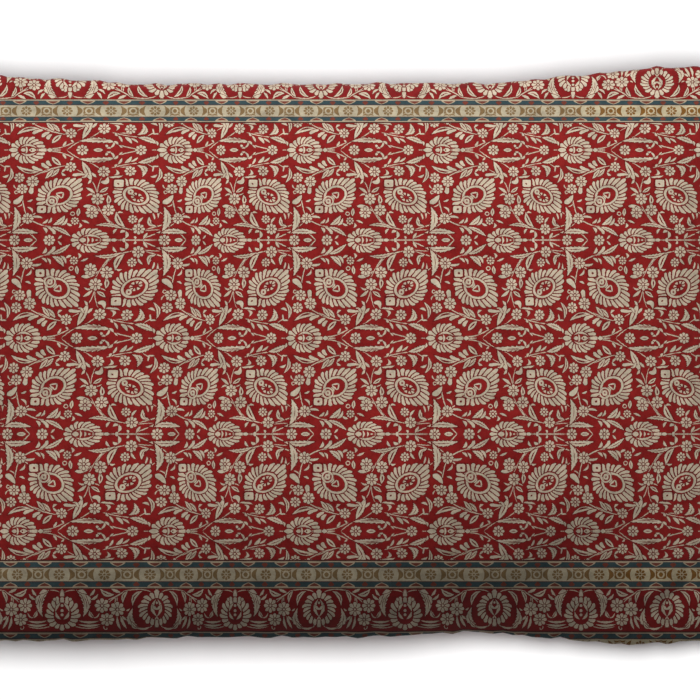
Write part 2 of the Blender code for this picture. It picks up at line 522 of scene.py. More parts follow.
FIELD_LEAVES = (
    # base, bend, tip, half width
    (32.5, 4, 35, 7, 36, 9.5, 1.2), (43, 8, 42, 9.5, 40, 11, 0.9), (61.5, 0, 66, 0, 70.5, 0, 2.2),
    (80.5, 9.5, 81.5, 5.5, 77, 2.2, 1.2), (78, 2.2, 75.2, 1.6, 73, 4.3, 1.2),
    (80, 9.5, 83.5, 8.5, 84.5, 5.5, 1.3), (85, 5.5, 87, 4, 88.5, 2, 0.8),
    (87.5, 87.5, 90, 84.8, 93, 86, 1.5), (92.5, 85.5, 96, 89, 92, 93.5, 1.7),
    (92.5, 93, 91, 95, 89.5, 95, 1.4), (100.5, 91, 102, 92.5, 102, 94, 1.2),
    (137, 95, 141.5, 95, 146, 95, 2.2), (109, 94, 110, 90.5, 112.5, 87.5, 1.3),
    (85, 83, 82, 85, 81.5, 88.5, 1.3), (17, 95, 19.5, 92.5, 22, 91, 1.0), (30, 94, 32, 92, 34, 90, 1.0),
    (51, 12, 56.5, 22, 60.5, 33.5, 3.4), (57, 24, 55.3, 27, 53.3, 29.8, 1.4),
    (60, 24, 62.3, 26.5, 65, 29, 1.4), (60, 31, 59.5, 34, 57, 36, 1.2),
    (31.5, 16.5, 26.5, 12.5, 22.3, 7.3, 2.6), (12, 22.5, 1, 25.5, -11, 17, 2.5),
    (24.5, 20.5, 21, 25.5, 17, 30.5, 2.1), (37, 20, 33, 21.5, 32, 24.5, 1.0),
    (32, 23.5, 32.5, 27, 36.5, 26.8, 1.2), (64, 46.5, 60, 42, 55.5, 40, 1.6),
    (64, 49, 59.5, 45, 56, 49.5, 1.0), (68, 45, 72, 43.5, 76, 39.5, 2.0),
    (82.5, 20.5, 88.5, 23, 80.5, 27, 1.6), (76, 28.5, 82.5, 30.2, 89.5, 27, 1.3),
    (84.5, 15.5, 87.2, 12.5, 88, 8.5, 1.3), (84, 15, 82, 16.5, 81.5, 18.8, 1.2),
    (90.5, 13.8, 95, 12, 97, 6.8, 1.8), (96, 12.8, 100, 11, 103, 7.8, 1.2),
    (119, 9.5, 121.8, 7.5, 121, 4.5, 1.1), (122.3, 18.5, 127.0, 28, 118.8, 34.8, 1.9),
    (114.5, 28.5, 118.5, 29.5, 121, 26, 1.3), (139.5, 54.5, 142.5, 55, 145, 52.3, 1.1),
    (139.5, 60.5, 145, 61, 145, 67, 1.2), (4, 71.3, 9.5, 69.4, 15.5, 72, 1.3),
    (15, 77.5, 19, 76.5, 20.3, 73, 1.2), (20, 77.5, 23.5, 76, 23.5, 71.3, 1.2),
    (38.5, 72, 38.8, 76, 33, 79.8, 1.4), (38, 77.5, 40.5, 79.5, 43.5, 80, 1.2),
    (49.5, 61.8, 48.4, 65.5, 48.8, 70, 2.0), (52, 74.5, 56, 75.2, 59.5, 77.8, 1.1),
    (50, 77, 53.5, 79, 49.3, 82.3, 1.3), (15.5, 82, 20, 83.5, 19, 88, 1.7),
    (76.3, 58.5, 77.3, 53, 75.8, 47.8, 2.3), (75, 72.5, 76.5, 75, 78.5, 77, 1.1),
    (92, 81.5, 83.3, 75.5, 84, 65.5, 3.0), (84.3, 67, 86.5, 64.5, 90, 67, 1.1),
    (104, 78, 105, 74, 108.5, 71.3, 1.2), (120.5, 81, 112, 79, 114, 70.5, 2.4),
    (119, 60, 123, 63.5, 121.8, 72.8, 1.1),
)
FIELD_TOOTHED = (
    # base, bend, tip, half width
    (48, 9.5, 65, 12.6, 83, 8, 3.0), (120.5, 87.5, 136, 84.0, 150.5, 87.8, 3.2),
    (30, 19.5, 27, 24.5, 20.3, 28.8, 2.5), (103, 13.5, 113, 12.4, 121, 6.5, 3.0),
    (102, 16.2, 114, 19.5, 107, 28.8, 3.4), (25.3, 79, 33.5, 77, 36.2, 69.3, 3.0),
    (24, 81.5, 34, 83.6, 41.7, 91, 2.5), (90, 83.2, 78, 76.8, 65.3, 79.8, 2.2),
    (125.5, 86.2, 135, 75, 127, 60.3, 4.2),
)
FIELD_PETALS = (
    # base, bend, tip, half width
    (22.5, 17, 19.5, 15.5, 18, 11.3, 1.6), (20.5, 19.3, 16, 18, 13, 14.0, 1.6),
    (14.5, 21.8, 9, 21, 4, 17.7, 1.6), (54.5, 26, 48, 25.8, 42, 26.8, 1.4),
    (4.5, 37, 4.2, 41, 3.5, 46.8, 1.9), (135.5, 48, 133, 53.5, 126.3, 56.8, 2.4),
    (69, 65, 60, 58.0, 53, 59.5, 1.5), (20, 81.5, 25.5, 83.5, 27.5, 88.8, 1.4),
    (75.5, 28.3, 76.8, 35, 69.3, 34.8, 2.2),
)
FIELD_VEINS = (
    # base, bend, tip, half width
    (60, 11.8, 69, 12.2, 78, 10.8, 0.5), (29.5, 14.8, 26.5, 12, 24, 9.2, 0.8),
    (6, 23.9, 0, 24.2, -6, 21, 0.7), (53, 16, 55.7, 20.5, 58, 25, 0.4), (70, 44, 72, 43.2, 74.2, 41.2, 0.6),
    (76.6, 56, 77, 53, 76.3, 50.3, 0.8), (89, 79, 85, 74.5, 84.8, 69, 0.8),
    (118.5, 79.3, 116, 77.5, 115.6, 75, 0.6),
)
FIELD_DOTS = (
    # middle, radius
    (73.7, 4.4, 1.4), (78.5, 64.3, 0.8),
)
FIELD_RINGS = (
    # middle, radius, half width
    (43.5, 67.5, 1.8, 0.45), (128.5, 45, 1.5, 0.4),
)
FIELD_ROSETTES = (
    # middle, radius
    (5, 33.5, 6.0), (40.5, 18, 5.3), (71.5, 23, 5.7), (96, 22.5, 5.3), (105.5, 0, 5.5), (131.5, 29.5, 5.3),
    (134.5, 41.5, 5.5), (1, 72.5, 5.7), (61.5, 66.5, 6.0), (66.5, 52, 6.0), (76.5, 63.5, 6.0),
    (104.5, 83.5, 5.7), (51, 0, 5.7), (127.8, 95, 5.5), (22, 95, 5.5), (98.8, 73.2, 4.4), (45.8, 75, 4.0),
)

# Two round palmettes sit on the field's lines of symmetry, so only half of each is drawn, and two
# pointed ones stand between the lines. A fringe is an oval of petals round an eye that is left bare.
# Its petals lean towards its end, which may be drawn out to a point. A loop is an oval line. Strokes are
# as above, and a row of a fringe is its middle, half length, half width, turn, number of petals, eye,
# lean and point. A loop's row ends with its line's half width, and a dot's and a ring's are as above.
FIRST_ROUND = dict(
    fringe=((-0.2, 0, 17.4, 15.0, 0, 18, 0.45, 1.0, 0.06),),
    bud=(
        (-19.3, 0, -15, 0, -10, 0, 2.9), (-7.0, 3, 0, 8.2, 8, 2.3, 1.3), (-7.2, 0, -5, 0, -2.3, 0, 2.3),
        (-2.2, 4.2, 0, 0, -2.2, -4.2, 1.2), (0.6, 0, 3, 0, 7.8, 0, 2.6), (17.6, 0, 20.4, 0, 23.5, 0, 2.3),
    ),
    stem=((-24, 0, -21, 0, -18, 0, 0.5), (22, 0, 26, 0, 31, 0, 0.7), (7.5, 0.6, 11, 1.0, 16, 0.6, 0.4)),
    hole=((3.3, 0, 0.9),),
)
SECOND_ROUND = dict(
    fringe=((-0.4, 0, 17.8, 13.0, 0, 18, 0.48, 1.0, 0.10),),
    bud=(
        (-10.5, 0, -7.5, 0, -4, 0, 2.9), (-7.3, 3.5, 1.5, 7.4, 10, 1, 1.3), (-3.3, 4, -1, 0, -3.3, -4, 1.2),
        (1.3, 2.6, 2.8, 0, 1.3, -2.6, 1.0), (4, 0, 5.5, 0, 7, 0, 0.9), (18.5, 0, 21, 0, 24, 0, 1.9),
    ),
    stem=((8, 0.5, 13, 0.8, 18, 0.5, 0.4),),
)
FIRST_POINTED = dict(
    fringe=((0.4, -0.6, 18.9, 18.5, -45, 24, 0.52, 0.7, 0.34),),
    block=((-20.2, 14, -16, 14, -11.8, 14, 3.8),),
    hole=((-15.6, 13.8, 1.2),),
    loop=((0.9, -0.8, 10.2, 8.6, -45, 0.11),),
    ring=((-6.5, 5.5, 1.9, 0.9), (-6.5, 5.5, 4.9, 0.8)),
    bud=((-0.9, 5.6, 0.6, 2.2, -3.6, -0.4, 1.1),),
    stem=(
        (15, -14, 20, -18.4, 26, -22.5, 0.9), (-2.7, -2.4, 0, 0.4, 2.7, 2.4, 0.9),
        (2.4, 2.6, 4.4, -0.2, 4.4, -3.6, 0.9), (-2.9, -2.5, 1, -3.8, 4.8, -3.6, 0.9),
    ),
)
SECOND_POINTED = dict(
    fringe=((1.6, -0.9, 18.7, 18.2, 45, 24, 0.52, 0.7, 0.32), (2.6, 0.9, 6.2, 4.2, 40, 8, 0.26, 0, 0)),
    block=((-18.9, -14, -14.4, -14, -9.9, -14, 4.1),),
    vein=((-15.9, -14.3, -14.8, -13.4, -13.7, -12.5, 0.9),),
    loop=((1.6, -0.8, 10.2, 8.0, 38, 0.11),),
    ring=((-3.4, -5.0, 1.9, 0.9),),
    stem=((17, 17, 18.5, 20, 19, 24, 0.9),),
)

# The border strip's two palmettes, its rosettes and its leaves, drawn from the middle of one
# palmette to the middle of the next and out from the strip's inner edge. It is mirrored about both.
STRIP_DRAWING = dict(
    stem=(
        (0, 4.5, 0, 8, 0, 11, 0.5), (2.5, 3, 7, 0.8, 12.5, 1.5, 0.5), (10.5, 36, 18, 40.7, 34.5, 36.6, 0.6),
        (27.3, 27.8, 32.5, 28.4, 34, 22.5, 0.8), (25.5, 21, 27, 23.5, 28.7, 26.5, 0.5),
        (41, 10.4, 50, 7.6, 57.5, 1.6, 0.6), (56, 2.2, 64, 0.3, 72.5, 0.6, 0.5),
        (71, 0.5, 77, 0.9, 81.5, 3, 0.5), (48.5, 8, 45, 10, 43, 12.5, 0.5),
        (49, 8, 48.5, 11, 48.2, 14.5, 0.5), (50, 7.5, 50.3, 10.5, 50.3, 13.5, 0.5),
        (38.5, 36, 37.3, 39, 39.7, 40.3, 0.6), (39.3, 40.3, 41.3, 40, 41, 37.6, 0.6),
        (86.5, 5, 86.5, 7, 86.5, 9, 0.6), (86.5, 26, 84.3, 29.5, 85.5, 33.5, 0.7),
    ),
    leaf=(
        (-2.8, 4, 0, 0.2, 2.8, 4, 1.3), (14, 1.8, 19, 1.5, 22.5, 5, 1.7),
        (22, 5.5, 26.2, 9, 25.2, 14.5, 1.7), (15.2, 30.8, 23, 34, 34, 30.8, 1.3),
        (14.6, 34.4, 21, 37.9, 35, 34.2, 1.3),
        (25.3, 20, 23.3, 25, 29, 28, 1.1), (29.8, 0.2, 29.3, 3.5, 25.3, 6.5, 1.3),
        (33, 4.7, 31.5, 8.4, 26.2, 10.2, 1.3), (34.8, 0.2, 38, 6.4, 47.5, 5.3, 2.4),
        (44.6, -0.3, 49, 2.6, 53.5, 3.3, 1.4),
        (59.7, 2.1, 54.3, 7, 55.3, 12.8, 1.9), (73.5, 2.0, 62.4, 6.3, 64.3, 15.5, 2.1),
        (50.3, 26.5, 49.9, 33.5, 53.5, 40, 1.4), (53.1, 25.6, 55, 32.7, 59, 39.2, 1.4),
        (54.8, 25.7, 56.3, 28.7, 58.9, 30, 1.2), (58.3, 20.4, 60.5, 20, 61.7, 18, 0.8),
        (63.7, 32, 64.5, 38.5, 70, 39, 1.9), (67, 37.6, 76, 41.4, 81, 36.8, 1.2),
        (79.8, 38, 84.5, 35, 82.3, 27.5, 0.9),
        (86.5, -1.6, 86.5, 1.8, 86.5, 5.2, 2.4),
        (85.8, 9.4, 78.2, 14.2, 86.8, 26.6, 1.7), (82.3, 14.6, 84.0, 19.0, 88.5, 18.9, 1.4),
        (0, 10.2, 5.4, 15.4, 6.6, 21.5, 1.4), (6.3, 21.5, 6.2, 26.2, 1.2, 29.4, 1.4),
        (80.6, 2.6, 82.0, 5.4, 85.4, 7.4, 1.3),
    ),
    # middle, half length, half width, turn, petals, eye, lean and point
    fringe=((0, 23.8, 17.2, 17.0, 90, 18, 0.50, -0.6, 0), (86.5, 19.3, 16.5, 17.6, 90, 20, 0.50, 0.7, 0.12)),
    toothed=((12.6, 0.8, 28.4, 11, 19.3, 26.6, 4.0), (71.5, 39.5, 56.5, 32.5, 64.5, 17.6, 3.6)),
    petal=((0, 1.6, 0, 4.6, 0, 7.4, 1.9), (86.5, 31.6, 86.5, 35, 86.5, 38.6, 1.8)),
    vein=(
        (15, 3, 20.6, 9, 20.7, 16, 0.4), (37, 2.3, 39.3, 4.4, 42.3, 5.3, 0.5),
        (67.8, 4.8, 64.6, 8, 64.8, 11.3, 0.6), (64.7, 25, 65, 31, 69, 35.5, 0.45),
    ),
    dot=((0, 24.6, 1.5), (0, 20.2, 1.5), (0, 15.4, 1.3), (7.4, 9.8, 1.4), (86.5, 12.8, 1.2)),
    rosette=((36.5, 15.5, 6.8), (50.3, 19, 7.0), (41, 29.5, 6.8)),
)


def feed(socket, value):
    """Link a node's input to a value that other nodes work out, or set it to a plain one."""
    if isinstance(value, bpy.types.NodeSocket):
        socket.id_data.links.new(value, socket)
    else:
        socket.default_value = value


def fed(node, **values):
    """The same node, once its inputs of these names are fed."""
    for name, value in values.items():
        feed(node.inputs[name.replace("_", " ")], value)
    return node


def added(tree, kind, **values):
    """A new shader node, with its inputs fed by name."""
    return fed(tree.nodes.new("ShaderNode" + kind), **values)


def worked(kind, operation, values, output):
    """The result of one sum in a new node, in the tree that the values come from."""
    tree = next(value.id_data for value in values if isinstance(value, bpy.types.NodeSocket))
    node = tree.nodes.new(kind)
    node.operation = operation
    for socket, value in zip(node.inputs, values):
        feed(socket, value)
    return node.outputs[output]


def maths(operation, *values):
    """A sum on numbers."""
    return worked("ShaderNodeMath", operation, values, 0)


def vectors(operation, *values, output=0):
    """A sum on places and other vectors."""
    return worked("ShaderNodeVectorMath", operation, values, output)


plus, minus, times, divided, times_plus, power, absolute, larger, mirrored, under, above = (
    functools.partial(maths, operation)
    for operation in (
        "ADD", "SUBTRACT", "MULTIPLY", "DIVIDE", "MULTIPLY_ADD", "POWER", "ABSOLUTE", "MAXIMUM", "PINGPONG",
        "LESS_THAN", "GREATER_THAN",
    )
)


def parts_of(vector):
    """The three parts of a vector."""
    return added(vector.id_data, "SeparateXYZ", Vector=vector).outputs


def noise(place, scale, detail=1.0):
    """The outputs of a noise texture."""
    return added(place.id_data, "TexNoise", Vector=place, Scale=scale, Detail=detail).outputs


def group(name, inputs, outputs):
    """A new node group, with the sockets to read inside it and the ones that take its results."""
    tree = bpy.data.node_groups.new(name, "ShaderNodeTree")
    for in_out, sockets in (("INPUT", inputs), ("OUTPUT", outputs)):
        for socket_name, kind in sockets:
            tree.interface.new_socket(socket_name, in_out=in_out, socket_type="NodeSocket" + kind)
    return tree, tree.nodes.new("NodeGroupInput").outputs, tree.nodes.new("NodeGroupOutput").inputs


def placed(tree, shape, **values):
    """One use of a node group, with its inputs fed by name, and its first output."""
    use = tree.nodes.new("ShaderNodeGroup")
    use.node_tree = shape
    return fed(use, **values).outputs[0]


# A shape's value is under 1 inside it and under the outline's reach in its dark outline. Lines that
# are left bare in it count as outline, and an empty drawing is far from every shape.
OUTLINE_REACH = 1.4
BARE_LINE = 1.2
FAR_OFF = 9.0
BLOCK_SQUARENESS = 5.0
PETAL_TAPER = 0.35
TEETH = 3.5
TOOTH_DEPTH = 0.45
TOOTH_FOOT = 0.82
RIB_TAPER = 0.4
ROSETTE_PETALS = 8.0
ROSETTE_ROUNDNESS = 0.2
ROSETTE_EYE = 1.5
ROSETTE_EYE_LINE = 0.4
ROSETTE_GAP = 1.3
FRINGE_ROUNDNESS = 0.09
FRINGE_UNEVENNESS = 0.03
FRINGE_LEAN_FROM = 0.8
POINT_SHARPNESS = 7.0
EYE_STRETCH = 0.3
RIBBED = ("leaf", "toothed")


def laid_over(near, before):
    """A shape and its own dark outline, laid over the shapes drawn before it."""
    return times_plus(under(near, OUTLINE_REACH), minus(near, before), before)


def shape_group(name, places, measures):
    """A node group for one drawn shape, with the sockets to read in it and the one for its value."""
    inputs = [(key, "Vector") for key in places] + [(key, "Float") for key in (*measures, "Before")]
    tree, get, put = group(name, inputs, (("Nearest", "Float"),))
    return tree, get, put["Nearest"]


def shares_of(get):
    """How far a place lies along and across a shape, as shares of its half length and half width."""
    return [vectors("DOT_PRODUCT", get["Place"], get[way], output=1) for way in ("Lengthways", "Crossways")]


def stroke_shape(name):
    """A drawn stroke: its output is under 1 inside it, and up to the outline's reach round it."""
    tree, get, put = shape_group(name, ("Place", "Lengthways", "Crossways"), ("Bow", "Midrib"))
    along, across = shares_of(get)
    if name == "block":
        sides = [power(absolute(side), BLOCK_SQUARENESS) for side in (along, across)]
        near = power(plus(*sides), 1.0 / BLOCK_SQUARENESS)
    else:
        square = times(along, along)
        side = absolute(times_plus(square, get["Bow"], across))
        if name == "petal":
            side = times(side, times_plus(along, -PETAL_TAPER, 1.0))
        if name == "toothed":
            notch = maths("FRACT", times(along, TEETH))
            side = times(side, times_plus(notch, TOOTH_DEPTH, TOOTH_FOOT))
        near = plus(side, square if name in RIBBED else times(square, square))
        if name in RIBBED:
            rib = under(times_plus(square, RIB_TAPER, side), get["Midrib"])
            near = larger(near, times(rib, BARE_LINE))
    if name == "stem":
        feed(put, maths("MINIMUM", near, get["Before"]))
    else:
        feed(put, laid_over(near, get["Before"]))
    return tree


def round_shape(name):
    """A dot, a ring or a rosette, read as a stroke is."""
    tree, get, put = shape_group(name, ("Place", "Middle"), ("Radius", "Width"))
    if name == "rosette":
        spot = vectors("SUBTRACT", get["Place"], get["Middle"])
        reach = vectors("LENGTH", spot, output=1)
        x, y, _ = parts_of(spot)
        wave = absolute(maths("COSINE", times(maths("ARCTAN2", y, x), ROSETTE_PETALS / 2.0)))
        near = divided(reach, times(power(wave, ROSETTE_ROUNDNESS), get["Radius"]))
        near = times_plus(near, 3.0, -2.0)
        eye_line = under(absolute(minus(reach, get["Width"])), ROSETTE_EYE_LINE)
        parted = times(under(times(wave, reach), ROSETTE_GAP), above(reach, get["Width"]))
        near = larger(near, times(larger(eye_line, parted), BARE_LINE))
    else:
        reach = vectors("DISTANCE", get["Place"], get["Middle"], output=1)
        if name == "ring":
            near = divided(absolute(minus(reach, get["Radius"])), get["Width"])
        else:
            near = divided(reach, get["Radius"])
    feed(put, laid_over(near, get["Before"]))
    return tree


def oval_shape(name):
    """A fringe of petals or a loop, read as a stroke is. Every second petal is a little shorter."""
    measures = ("Petals", "Gap", "Eye", "Lean", "Point", "Band")
    tree, get, put = shape_group(name, ("Place", "Lengthways", "Crossways"), measures)
    along, across = shares_of(get)
    endways = times(along, along)
    square = times_plus(across, across, endways)
    reach = maths("SQRT", square)
    if name == "loop":
        near = divided(absolute(minus(reach, 1.0)), get["Band"])
    else:
        endways = divided(endways, square)
        tip = times_plus(power(endways, POINT_SHARPNESS), get["Point"], 1.0)
        lean = times(minus(reach, FRINGE_LEAN_FROM), get["Lean"])
        turn = times_plus(lean, divided(across, reach), maths("ARCTAN2", across, along))
        wave = maths("COSINE", times(turn, times(get["Petals"], 0.5)))
        tip = times(tip, times_plus(maths("SIGN", wave), FRINGE_UNEVENNESS, 1.0 - FRINGE_UNEVENNESS))
        wave = absolute(wave)
        edge = times(power(wave, FRINGE_ROUNDNESS), tip)
        eye = times(get["Eye"], times_plus(endways, EYE_STRETCH, 1.0))
        near = times_plus(larger(divided(reach, edge), divided(eye, reach)), 8.0, -7.0)
        near = larger(near, times(under(times(wave, reach), get["Gap"]), BARE_LINE))
    feed(put, laid_over(near, get["Before"]))
    return tree


STROKES = ("stem", "leaf", "toothed", "petal", "block", "vein", "bud")
OVALS = ("fringe", "loop")
SHAPES = {name: stroke_shape(name) for name in STROKES if name not in ("vein", "bud")}
SHAPES.update({name: oval_shape(name) for name in OVALS})
SHAPES.update({name: round_shape(name) for name in ("dot", "ring", "rosette")})
SHAPES["vein"], SHAPES["bud"] = SHAPES["leaf"], SHAPES["leaf"]
SHAPES["hole"], SHAPES["hoop"] = SHAPES["dot"], SHAPES["ring"]
INK_SHAPES = (
    "stem", "toothed", "leaf", "petal", "fringe", "block", "loop", "bud", "dot", "ring", "rosette",
)
BARE_SHAPES = ("vein", "hole", "hoop")
EDGE_WANDER = 1.0
PETAL_GAP = 0.56
SLANTED_WIDER = 0.16

# How wide each kind of stroke prints, beside its drawn width.
INK_WIDTHS = dict(stem=0.80, leaf=0.90, toothed=0.82, petal=1.0, vein=0.9, block=0.95, bud=0.85)
MIDRIB = 0.36
LEAST_RIBBED = 1.9


def bounds_of(kind, row):
    """The box round a shape: lowest and highest, along and down."""
    if kind in STROKES:
        width = row[6] * 1.6
        along, down = row[0:5:2], row[1:6:2]
        return min(along) - width, max(along) + width, min(down) - width, max(down) + width
    reach = 1.3 * max(row[2:4]) if kind in OVALS else row[2] + (row[3] if len(row) > 3 else 0.0)
    return row[0] - reach, row[0] + reach, row[1] - reach, row[1] + reach


def placing(middle, lengthways, half_length, half_width, bow=0.0, wider=1.0):
    """The two vectors that turn a place into shares of a shape's half length and half width."""
    crossways = np.array([-lengthways[1], lengthways[0]]) / (wider, 1.0)
    lengthways = lengthways / (wider, 1.0)
    return dict(
        Lengthways=(*(lengthways / half_length), -(lengthways @ middle) / half_length),
        Crossways=(*(crossways / half_width), (-(crossways @ middle) - bow) / half_width),
    )


def values_of(kind, row):
    """A shape's inputs, from its row of a drawing. A slanting oval prints a little wider."""
    if kind in STROKES:
        base, bend, tip = np.array(row[:6], float).reshape(3, 2)
        half_length = np.linalg.norm(tip - base) / 2.0
        lengthways = (tip - base) / (2.0 * half_length)
        middle = (base + tip) / 2.0
        bow = 0.5 * float(np.cross(lengthways, bend - middle))
        width = row[6] * INK_WIDTHS[kind]
        midrib = MIDRIB / width if kind in RIBBED and row[6] >= LEAST_RIBBED else 0.0
        return dict(Bow=bow / width, Midrib=midrib, **placing(middle, lengthways, half_length, width, bow))
    if kind in OVALS:
        turn = math.radians(row[4])
        lengthways = np.array([math.cos(turn), math.sin(turn)])
        wider = 1.0 + SLANTED_WIDER * abs(math.sin(2.0 * turn))
        values = placing(np.array(row[0:2], float), lengthways, row[2], row[3], wider=wider)
        if kind == "loop":
            return dict(Band=row[5], **values)
        gap = PETAL_GAP * row[5] / (row[2] + row[3])
        return dict(Petals=row[5], Gap=gap, Eye=row[6], Lean=row[7], Point=row[8], **values)
    return dict(Middle=(row[0], row[1], 1.0), Radius=row[2], Width=row[3] if len(row) > 3 else ROSETTE_EYE)


def drawn(place, drawing, window):
    """A drawing's shapes that touch the window: a mask of their ink, and one that takes in their outline."""
    found = {}
    for kind in INK_SHAPES + BARE_SHAPES:
        layer = "bare" if kind in BARE_SHAPES else "ink"
        for row in drawing.get(kind, ()):
            left, right, top, bottom = bounds_of(kind, row)
            if right < window[0] or left > window[1] or bottom < window[2] or top > window[3]:
                continue
            before = found.get(layer, FAR_OFF)
            values = values_of(kind, row)
            found[layer] = placed(place.id_data, SHAPES[kind], Place=place, Before=before, **values)
    ink = under(found["ink"], 1.0)
    if "bare" in found:
        ink = times(ink, above(found["bare"], 1.0))
    return ink, under(found["ink"], OUTLINE_REACH)


def print_place(along, down):
    """A place in a drawing, made a little unsteady as a woven or block-printed edge is."""
    flat = added(along.id_data, "CombineXYZ", X=along, Y=down, Z=1.0).outputs[0]
    unsteady = noise(flat, 0.55)["Color"]
    back = vectors("SUBTRACT", flat, (EDGE_WANDER / 2.0, EDGE_WANDER / 2.0, 0.0))
    return vectors("MULTIPLY_ADD", unsteady, (EDGE_WANDER, EDGE_WANDER, 0.0), back)


def moved(drawing, along, down, flip=1.0):
    """The same drawing about another middle, and upside down if flip is -1."""
    result = {}
    for kind, rows in drawing.items():
        new_rows = []
        for row in rows:
            new_row = list(row)
            for point in range(3 if kind in STROKES else 1):
                new_row[2 * point] = row[2 * point] + along
                new_row[2 * point + 1] = down + flip * row[2 * point + 1]
            if kind in OVALS:
                new_row[4] = flip * row[4]
            new_rows.append(tuple(new_row))
        result[kind] = tuple(new_rows)
    return result


def joined(*drawings):
    """One drawing with the shapes of several."""
    result = {}
    for drawing in drawings:
        for kind, rows in drawing.items():
            result[kind] = result.get(kind, ()) + tuple(rows)
    return result


field_drawing = joined(
    dict(stem=FIELD_STEMS, leaf=FIELD_LEAVES, toothed=FIELD_TOOTHED, petal=FIELD_PETALS,
         vein=FIELD_VEINS, dot=FIELD_DOTS, ring=FIELD_RINGS, rosette=FIELD_ROSETTES),
    moved(FIRST_ROUND, 0.0, 0.0),
    moved(SECOND_ROUND, 61.0, 95.0, flip=-1.0),
    moved(FIRST_POINTED, 30.0, 49.0),
    moved(SECOND_POINTED, 100.0, 49.5),
)
field_drawing = joined(*(moved(field_drawing, step * FIELD_REPEAT, 0.0) for step in (-1, 0, 1)))

# The pale band, drawn from the middle of one rosette to the middle of the next scroll and about the
# band's middle line. Narrow dark, guard and cream stripes follow on both sides of it, each given by
# how far its edge lies from that line. A guard has a row of arches and lozenges. To the right the
# band's colours turn golden.
BAND_FIRST = 44.2
BAND_REPEAT = 41.3
BAND_MIDDLE = 14.9
BAND_HALF = 6.9
BAND_GOLDEN_FROM = 500.0
BAND_GOLDEN_TO = 560.0
GUARD_INNER = 7.6
GUARD_OUTER = 12.5
CREAM_OUTER = 13.5
GUARD_FIRST = 287.0
GUARD_REPEAT = 33.8
GUARD_RIM = 0.8
ARCH_HALF = 7.0
ARCH_FILLED_HALF = 5.2
ARCH_CURVE = 0.36
LOZENGE_HEIGHT = 2.4
LOZENGE_REACH = 3.2
BAND_DRAWING = dict(
    rosette=((0, 0, 5.7),),
    bud=(
        (8.6, -6.4, 16.2, 0, 8.6, 6.4, 2.8), (14.4, -6.2, 18, -2.6, 21, -6.4, 1.2),
        (20.5, 6.4, 24, 2.8, 27, 6.2, 1.2),
    ),
    block=((15.4, 0, 20.65, 0, 25.9, 0, 4.9),),
    hoop=((20.65, 0, 3.0, 0.75),),
)

# The printed cotton: colours of the grounds and of the ink, and its plain weave.
FIELD_RED = (0.215, 0.0120, 0.0110, 1.0)
STRIP_RED = (0.190, 0.0095, 0.0095, 1.0)
FIELD_INK = (0.50, 0.425, 0.315, 1.0)
FIELD_OUTLINE = (0.135, 0.0085, 0.0085, 1.0)
BACK_RED = (0.215, 0.0125, 0.0115, 1.0)
BAND_GROUND = (0.385, 0.330, 0.230, 1.0)
BAND_BROWN = (0.185, 0.115, 0.051, 1.0)
BAND_GOLDEN = (0.44, 0.370, 0.240, 1.0)
BAND_GOLDEN_BROWN = (0.175, 0.078, 0.017, 1.0)
GUARD_BLUE = (0.033, 0.058, 0.064, 1.0)
GUARD_CREAM = (0.37, 0.30, 0.205, 1.0)
GUARD_PINK = (0.15, 0.038, 0.024, 1.0)
LINE_DARK = (0.060, 0.014, 0.012, 1.0)
YARN = 0.00042
DYE_SCALE = 120.0
SLUB_SCALE = 800.0
STREAKS = ((180.0, 16.0, 1.0), (16.0, 180.0, 1.0))


def map_place(tree, name):
    """A place in one of the cover's maps."""
    cover_map = tree.nodes.new("ShaderNodeUVMap")
    cover_map.uv_map = name
    return cover_map.outputs[0]


def printed_cotton():
    """The cloth under the print: a colour made uneven by dye and yarn and darkened between the weave's
    threads as painted shade, and the weave's height.
    """
    outputs = (("Colour", "Color"), ("Height", "Float"))
    tree, get, put = group("printed_cotton", (("Colour", "Color"),), outputs)
    place = map_place(tree, "cloth")
    threads = vectors("SCALE", place)
    fed(threads.node, Scale=math.pi / YARN)
    warp, weft, _ = parts_of(threads)
    weave = times_plus(times(maths("SINE", warp), maths("SINE", weft)), 0.5, 0.5)
    dye_and_weave_shade = times_plus(noise(place, DYE_SCALE, 3.0)["Fac"], 0.80, 0.04)
    dye_and_weave_shade = times_plus(noise(place, SLUB_SCALE)["Fac"], 0.44, dye_and_weave_shade)
    for stretch in STREAKS:
        dye_and_weave_shade = times_plus(noise(vectors("MULTIPLY", place, stretch), 1.0)["Fac"], 0.30, dye_and_weave_shade)
    # The weave lightens the colour on its threads and darkens it between them: painted shade in the weave's
    # hollows.
    dye_and_weave_shade = times_plus(weave, 0.08, dye_and_weave_shade)
    colour = vectors("SCALE", get["Colour"])
    fed(colour.node, Scale=dye_and_weave_shade)
    feed(put["Colour"], colour)
    feed(put["Height"], weave)
    return tree


COTTON = printed_cotton()


def cloth_material(name):
    """A cotton material, with its node tree and a function that finishes it in a colour."""
    material = bpy.data.materials.new(name)
    material.use_nodes = True
    tree = material.node_tree
    shader = fed(tree.nodes["Principled BSDF"], Roughness=0.9, Specular_IOR_Level=0.10, Sheen_Weight=0.02)

    def finish(colour):
        cotton = placed(tree, COTTON, Colour=colour).node.outputs
        bump = added(tree, "Bump", Strength=0.25, Distance=0.0002, Height=cotton["Height"])
        fed(shader, Base_Color=cotton["Colour"], Normal=bump.outputs["Normal"])

    return material, tree, finish


def mixed(mask, first, second):
    """The first colour where the mask is 0 and the second where it is 1."""
    mix = mask.id_data.nodes.new("ShaderNodeMix")
    mix.data_type = "RGBA"
    for socket, value in ((mix.inputs[0], mask), (mix.inputs[6], first), (mix.inputs[7], second)):
        feed(socket, value)
    return mix.outputs[2]


FIELD_BLOCKS = (6, 4)
STRIP_BLOCKS = 4
BLOCK_MARGIN = 3.5
STRIP_HALF_REPEAT = 86.0
STRIP_DRAWN_HALF = 86.5
STRIP_DEPTHS = (-5.0, 60.0)
BAND_WINDOW = (-50.0, 50.0, -50.0, 50.0)


